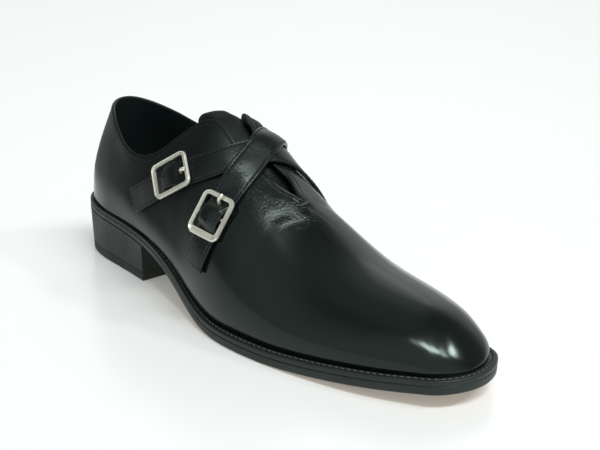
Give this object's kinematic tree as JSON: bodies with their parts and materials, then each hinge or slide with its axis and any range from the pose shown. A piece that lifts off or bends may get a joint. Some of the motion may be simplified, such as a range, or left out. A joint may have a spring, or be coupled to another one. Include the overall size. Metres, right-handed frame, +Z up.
{
  "type": "monk strap shoe",
  "caption": "Leather dress shoe for the right foot: crossed monk straps over a padded tongue, metal buckles on the outer side, welted leather sole and a low stacked heel.",
  "frame": {"origin": "middle of the shoe's outline on the plane that the heel and the forepart stand on", "axes": "toe to -Y, heel to +Y, lateral (little toe) side to -X, medial (big toe) side to +X, +Z up"},
  "size_m": [0.1051, 0.3124, 0.1082],
  "materials": {
    "upper_leather": "smooth black, polished to a gloss",
    "sole_leather": "natural tan, satin, with blackened edges",
    "edge_leather": "blackened and waxed edge",
    "heel_rubber": "matt black",
    "lining_leather": "matt black lining",
    "buckle_metal": "polished nickel, slightly satin"
  },
  "bodies": {
    "root": {"outsole": "sole_leather", "welt": "edge_leather", "heel_stack": "edge_leather", "heel_top_piece": "heel_rubber", "insole": "lining_leather", "upper": "upper_leather", "tongue": "upper_leather", "strap_front": "upper_leather", "strap_rear": "upper_leather", "buckle_chape_front": "upper_leather", "buckle_chape_rear": "upper_leather", "buckle_frame_front": "buckle_metal", "buckle_frame_rear": "buckle_metal", "buckle_prong_front": "buckle_metal", "buckle_prong_rear": "buckle_metal"}
  },
  "joints": []
}
